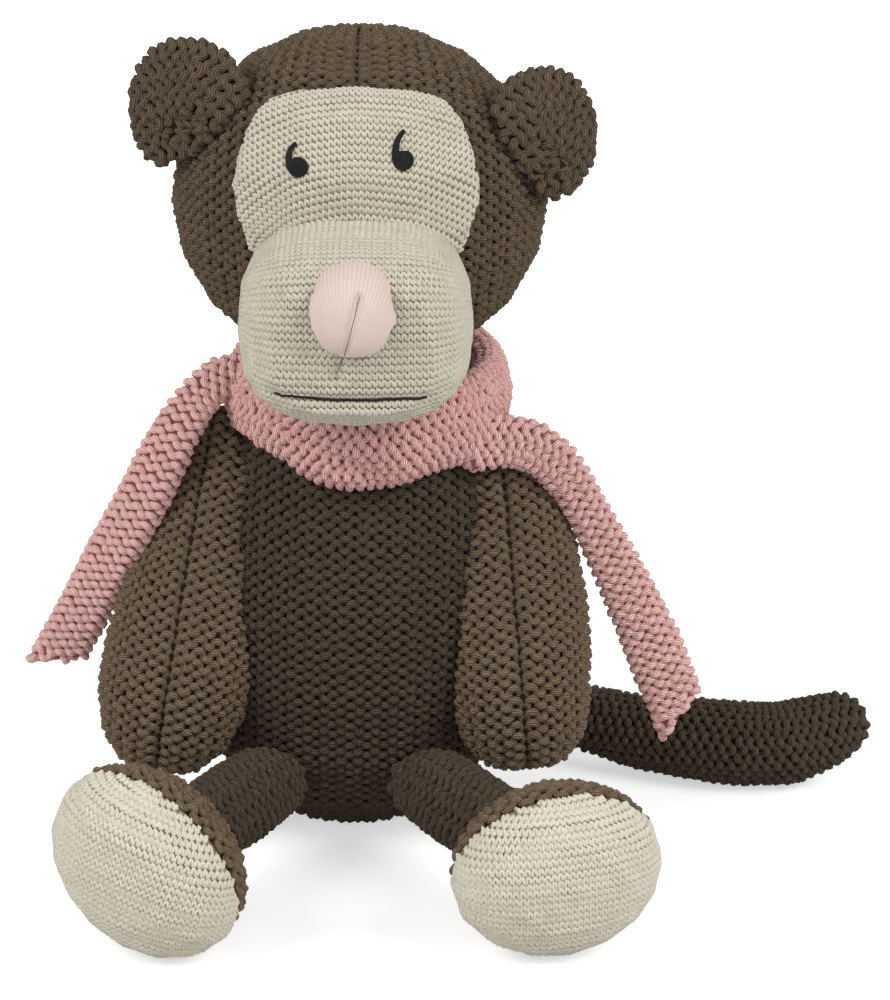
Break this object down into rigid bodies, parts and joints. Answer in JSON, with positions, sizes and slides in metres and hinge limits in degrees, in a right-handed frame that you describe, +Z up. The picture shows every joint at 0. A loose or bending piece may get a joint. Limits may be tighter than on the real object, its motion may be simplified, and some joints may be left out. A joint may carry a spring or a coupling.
{
  "type": "plush monkey dog toy",
  "caption": "Knitted stuffed monkey that sits with its legs out, with a padded face, round ears, a club-shaped tail, a long scarf and a squeaker in its belly.",
  "frame": {"origin": "middle of the flat that the body sits on, on the floor", "axes": "+Z up, -Y where the monkey looks, +X to the monkey's own left"},
  "size_m": [0.2929, 0.2004, 0.2745],
  "materials": {
    "brown_knit": "bulky twisted yarn, dull",
    "beige_knit": "fine yarn, dull",
    "pale_jersey": "fine jersey, dull",
    "pink_knit": "bulky twisted yarn, dull",
    "black_thread": "embroidery thread, faint sheen",
    "fibre_filling": "loose white fibre",
    "squeaker_plastic": "thin soft plastic, cloudy",
    "reed_plastic": "hard white plastic"
  },
  "bodies": {
    "torso": {"body_cover": "brown_knit", "body_stuffing_front": "fibre_filling", "body_stuffing_back": "fibre_filling", "squeaker_bulb": "squeaker_plastic", "squeaker_reed": "reed_plastic", "scarf_wrap": "pink_knit"},
    "head": {"head_cover": "brown_knit", "head_stuffing": "fibre_filling", "brow_panel": "beige_knit", "muzzle_cover": "beige_knit", "muzzle_stuffing": "fibre_filling", "nose_cover": "pale_jersey", "nose_stuffing": "fibre_filling", "nose_stitch": "black_thread", "mouth_stitch": "black_thread", "left_eye": "black_thread", "right_eye": "black_thread"},
    "left_ear": {"left_ear_cover": "brown_knit", "left_ear_stuffing": "fibre_filling"},
    "right_ear": {"right_ear_cover": "brown_knit", "right_ear_stuffing": "fibre_filling"},
    "left_arm": {"left_arm_cover": "brown_knit", "left_arm_stuffing": "fibre_filling"},
    "right_arm": {"right_arm_cover": "brown_knit", "right_arm_stuffing": "fibre_filling"},
    "left_leg": {"left_leg_cover": "brown_knit", "left_leg_stuffing": "fibre_filling", "left_foot_cover": "brown_knit", "left_foot_stuffing": "fibre_filling", "left_sole": "beige_knit"},
    "right_leg": {"right_leg_cover": "brown_knit", "right_leg_stuffing": "fibre_filling", "right_foot_cover": "brown_knit", "right_foot_stuffing": "fibre_filling", "right_sole": "beige_knit"},
    "tail": {"tail_cover": "brown_knit", "tail_stuffing": "fibre_filling"},
    "left_scarf_end": {"left_scarf_end": "pink_knit"},
    "right_scarf_end": {"right_scarf_end": "pink_knit"}
  },
  "joints": [
    {"name": "head_turn", "type": "hinge", "parent": "torso", "child": "head", "pos_m": [0.005, 0, 0.1705], "axis": [0, 0, 1], "range_deg": [-25, 25], "stiffness_Nm_per_rad": 0.15},
    {"name": "left_ear_fold", "type": "hinge", "parent": "head", "child": "left_ear", "pos_m": [0.05437, -0.024, 0.2425], "axis": [0, 0, 1], "range_deg": [-20, 20], "stiffness_Nm_per_rad": 0.01},
    {"name": "right_ear_fold", "type": "hinge", "parent": "head", "child": "right_ear", "pos_m": [-0.03693, -0.024, 0.252], "axis": [0, 0, -1], "range_deg": [-20, 20], "stiffness_Nm_per_rad": 0.01},
    {"name": "left_arm_swing", "type": "hinge", "parent": "torso", "child": "left_arm", "pos_m": [0.051, -0.008, 0.1245], "axis": [-1, 0, 0], "range_deg": [0, 45], "stiffness_Nm_per_rad": 0.03},
    {"name": "right_arm_swing", "type": "hinge", "parent": "torso", "child": "right_arm", "pos_m": [-0.044, -0.008, 0.1325], "axis": [-1, 0, 0], "range_deg": [0, 45], "stiffness_Nm_per_rad": 0.03},
    {"name": "left_leg_lift", "type": "hinge", "parent": "torso", "child": "left_leg", "pos_m": [0.02, -0.038, 0.029], "axis": [0.8546, 0.5193, 0], "range_deg": [-30, 15], "stiffness_Nm_per_rad": 0.08},
    {"name": "right_leg_lift", "type": "hinge", "parent": "torso", "child": "right_leg", "pos_m": [-0.02, -0.038, 0.029], "axis": [0.8922, -0.4517, 0], "range_deg": [-30, 15], "stiffness_Nm_per_rad": 0.08},
    {"name": "tail_swing", "type": "hinge", "parent": "torso", "child": "tail", "pos_m": [0.026, 0.03605, 0.03], "axis": [0, 0, 1], "range_deg": [-18, 18], "stiffness_Nm_per_rad": 0.04},
    {"name": "left_scarf_swing", "type": "hinge", "parent": "torso", "child": "left_scarf_end", "pos_m": [0.048, -0.02, 0.142], "axis": [0, -1, 0], "range_deg": [0, 30]},
    {"name": "right_scarf_swing", "type": "hinge", "parent": "torso", "child": "right_scarf_end", "pos_m": [-0.034, -0.009, 0.16], "axis": [0, 1, 0], "range_deg": [0, 30]}
  ]
}
